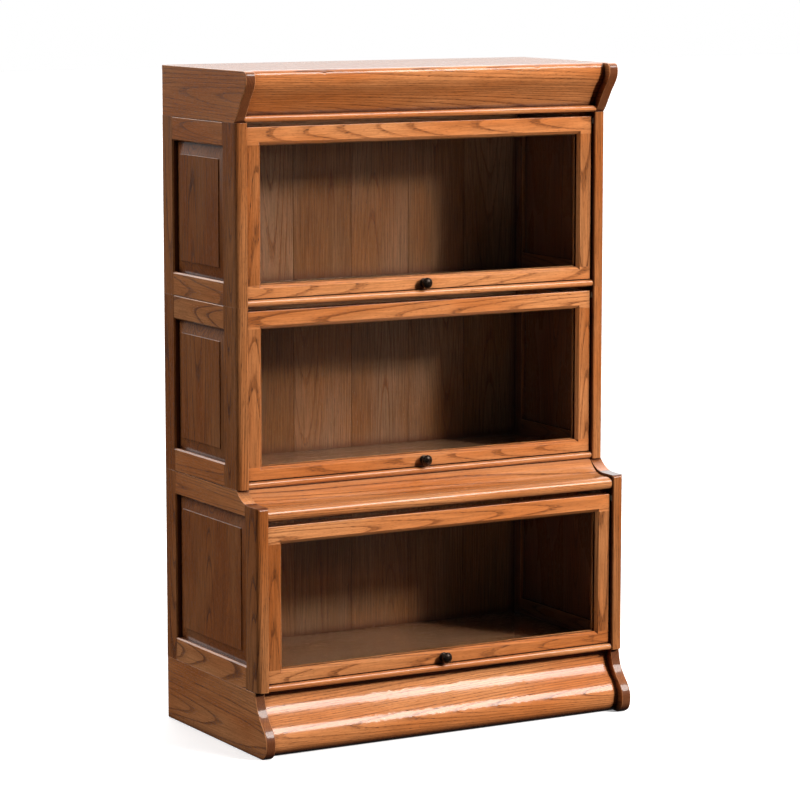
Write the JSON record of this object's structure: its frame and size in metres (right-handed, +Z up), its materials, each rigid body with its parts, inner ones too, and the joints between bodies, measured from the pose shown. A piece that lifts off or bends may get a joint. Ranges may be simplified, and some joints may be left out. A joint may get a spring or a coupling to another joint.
{
  "type": "barrister bookcase",
  "caption": "Oak stacking bookcase with raised-panel sides, glazed doors that lift and slide back over the books, a moulded crown and a moulded base.",
  "frame": {"origin": "on the floor, under the middle of the bookcase's box", "axes": "+Z up, the doors face -Y, and X runs across the width with the left side at -X"},
  "size_m": [0.864, 0.449, 1.362],
  "materials": {
    "oak": "semi-gloss lacquered red oak",
    "beech": "bare beech",
    "glass": "clear float glass",
    "bronze": "dark oil-rubbed bronze",
    "steel": "zinc-plated",
    "nylon": "natural nylon"
  },
  "bodies": {
    "cabinet": {"stacking_dowels": "beech", "base_side_boards": "oak", "base_front_moulding": "oak", "base_back_rail": "oak", "base_corner_blocks": "oak", "crown_side_boards": "oak", "crown_front_moulding": "oak", "crown_bead": "oak", "crown_top_board": "oak", "crown_back_rail": "oak", "lower_case_ledge": "oak", "lower_case_front_stiles": "oak", "lower_case_back_stiles": "oak", "lower_case_side_rails": "oak", "lower_case_side_panels": "oak", "lower_case_shelf": "oak", "lower_case_nosing": "oak", "lower_case_back_rail": "oak", "lower_case_back_boards": "oak", "lower_case_runners": "steel", "middle_case_front_stiles": "oak", "middle_case_back_stiles": "oak", "middle_case_side_rails": "oak", "middle_case_side_panels": "oak", "middle_case_shelf": "oak", "middle_case_nosing": "oak", "middle_case_back_rail": "oak", "middle_case_back_boards": "oak", "middle_case_runners": "steel", "top_case_front_stiles": "oak", "top_case_back_stiles": "oak", "top_case_side_rails": "oak", "top_case_side_panels": "oak", "top_case_shelf": "oak", "top_case_nosing": "oak", "top_case_back_rail": "oak", "top_case_back_boards": "oak", "top_case_runners": "steel"},
    "lower_door_carriage": {"lower_door_slide_shoes": "nylon"},
    "lower_door": {"lower_door_stiles": "oak", "lower_door_rails": "oak", "lower_door_glass": "glass", "lower_door_glazing_beads": "oak", "lower_door_knob": "bronze", "lower_door_pivot_pins": "steel"},
    "middle_door_carriage": {"middle_door_slide_shoes": "nylon"},
    "middle_door": {"middle_door_stiles": "oak", "middle_door_rails": "oak", "middle_door_glass": "glass", "middle_door_glazing_beads": "oak", "middle_door_knob": "bronze", "middle_door_pivot_pins": "steel"},
    "top_door_carriage": {"top_door_slide_shoes": "nylon"},
    "top_door": {"top_door_stiles": "oak", "top_door_rails": "oak", "top_door_glass": "glass", "top_door_glazing_beads": "oak", "top_door_knob": "bronze", "top_door_pivot_pins": "steel"}
  },
  "joints": [
    {"name": "lower_door_slide", "type": "slide", "parent": "cabinet", "child": "lower_door_carriage", "axis": [0, 1, 0], "range_m": [0, 0.266]},
    {"name": "lower_door_tilt", "type": "hinge", "parent": "lower_door_carriage", "child": "lower_door", "pos_m": [0, -0.171, 0.4545], "axis": [-1, 0, 0], "range_deg": [0, 90]},
    {"name": "middle_door_slide", "type": "slide", "parent": "cabinet", "child": "middle_door_carriage", "axis": [0, 1, 0], "range_m": [0, 0.2765]},
    {"name": "middle_door_tilt", "type": "hinge", "parent": "middle_door_carriage", "child": "middle_door", "pos_m": [0, -0.089, 0.8755], "axis": [-1, 0, 0], "range_deg": [0, 90]},
    {"name": "top_door_slide", "type": "slide", "parent": "cabinet", "child": "top_door_carriage", "axis": [0, 1, 0], "range_m": [0, 0.2765]},
    {"name": "top_door_tilt", "type": "hinge", "parent": "top_door_carriage", "child": "top_door", "pos_m": [0, -0.089, 1.241], "axis": [-1, 0, 0], "range_deg": [0, 90]}
  ]
}
